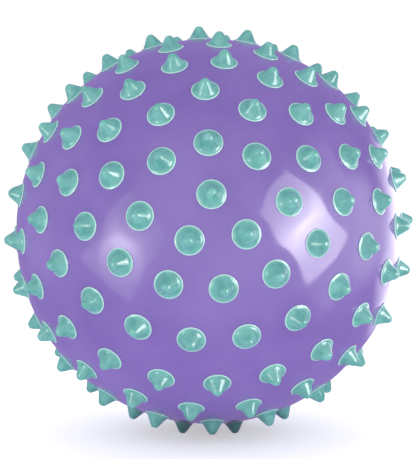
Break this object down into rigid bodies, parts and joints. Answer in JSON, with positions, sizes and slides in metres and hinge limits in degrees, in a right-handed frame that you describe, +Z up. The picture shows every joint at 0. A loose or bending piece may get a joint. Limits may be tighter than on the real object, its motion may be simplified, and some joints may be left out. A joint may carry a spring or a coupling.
{
  "type": "sensory ball",
  "caption": "Hollow soft vinyl ball studded all over with flared pointed nubs set in rings, with a push-in rubber valve bung that takes a pump needle.",
  "frame": {"origin": "on the floor under the centre of the ball, at the level of the three nub tips that it stands on", "axes": "+Z up; the pole of the nub pattern leans up towards -Y, and the valve leaves the ball opposite it, towards +Y and down"},
  "size_m": [0.1796, 0.1798, 0.1792],
  "materials": {
    "purple_vinyl": "gloss rotation-moulded soft vinyl",
    "turquoise_vinyl": "gloss soft vinyl nubs",
    "valve_rubber": "satin moulded rubber"
  },
  "bodies": {
    "ball": {"ball_shell": "purple_vinyl", "valve_sleeve": "purple_vinyl", "pole_nub": "turquoise_vinyl", "nub_ring_1": "turquoise_vinyl", "nub_ring_2": "turquoise_vinyl", "nub_ring_3": "turquoise_vinyl", "nub_ring_4": "turquoise_vinyl", "nub_ring_5": "turquoise_vinyl", "nub_ring_6": "turquoise_vinyl", "nub_ring_7": "turquoise_vinyl", "nub_ring_8": "turquoise_vinyl", "nub_ring_9": "turquoise_vinyl", "nub_ring_10": "turquoise_vinyl", "nub_ring_11": "turquoise_vinyl", "nub_ring_12": "turquoise_vinyl"},
    "bung": {"valve_bung": "valve_rubber"}
  },
  "joints": [
    {"name": "bung_pull", "type": "slide", "parent": "ball", "child": "bung", "axis": [0, 0.9221, -0.3868], "range_m": [0, 0.02]}
  ]
}
